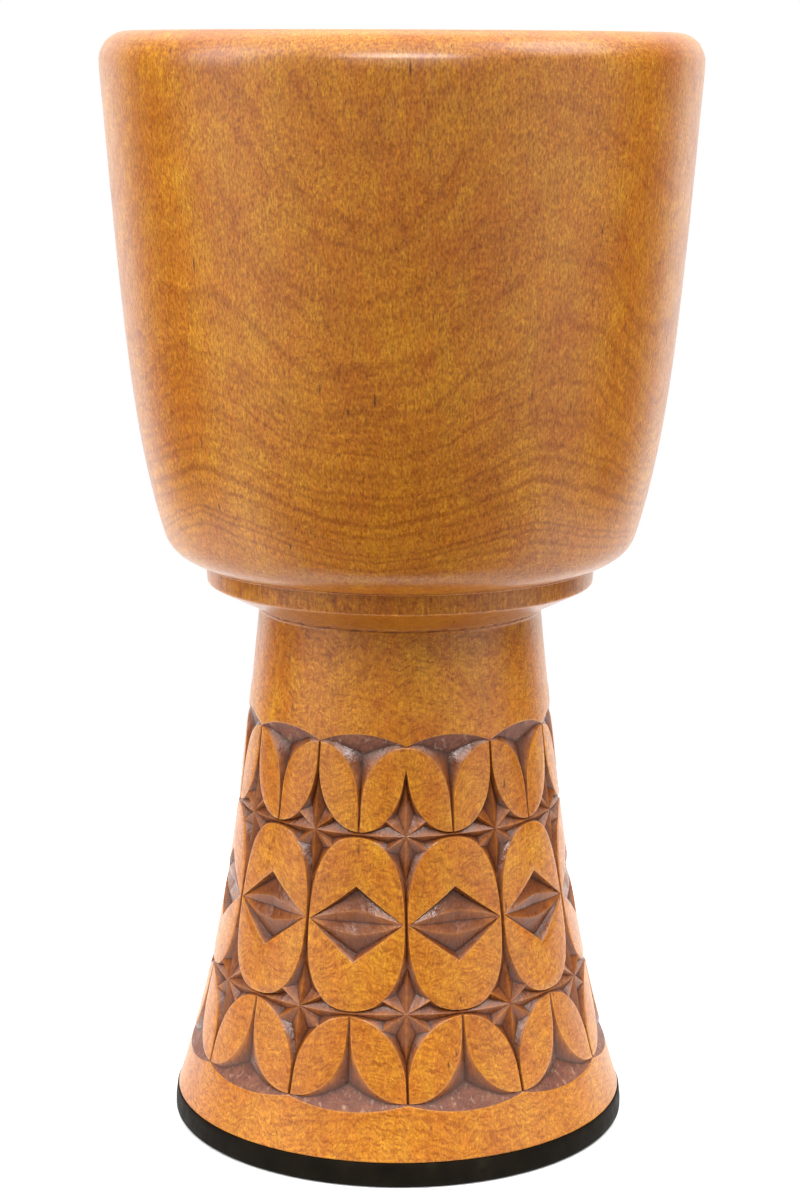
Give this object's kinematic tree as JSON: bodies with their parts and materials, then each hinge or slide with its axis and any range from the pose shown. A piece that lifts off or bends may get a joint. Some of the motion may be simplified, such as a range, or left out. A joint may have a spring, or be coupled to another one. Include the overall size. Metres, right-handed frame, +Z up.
{
  "type": "djembe shell",
  "caption": "Goblet-shaped hollow wooden drum body with a rounded rim, collar, flared foot and rubber foot ring; no head, rings or ropes.",
  "frame": {"origin": "centre of the base, on the surface that the drum stands on", "axes": "+Z up, along the axis of the bowl, throat and foot; -Y is the side seen from the front"},
  "size_m": [0.322, 0.322, 0.6],
  "materials": {
    "wood": "oiled satin",
    "rubber": "smooth matt",
    "steel": "plain"
  },
  "bodies": {
    "root": {"shell": "wood", "foot_rubber_ring": "rubber", "ring_tacks": "steel"}
  },
  "joints": []
}
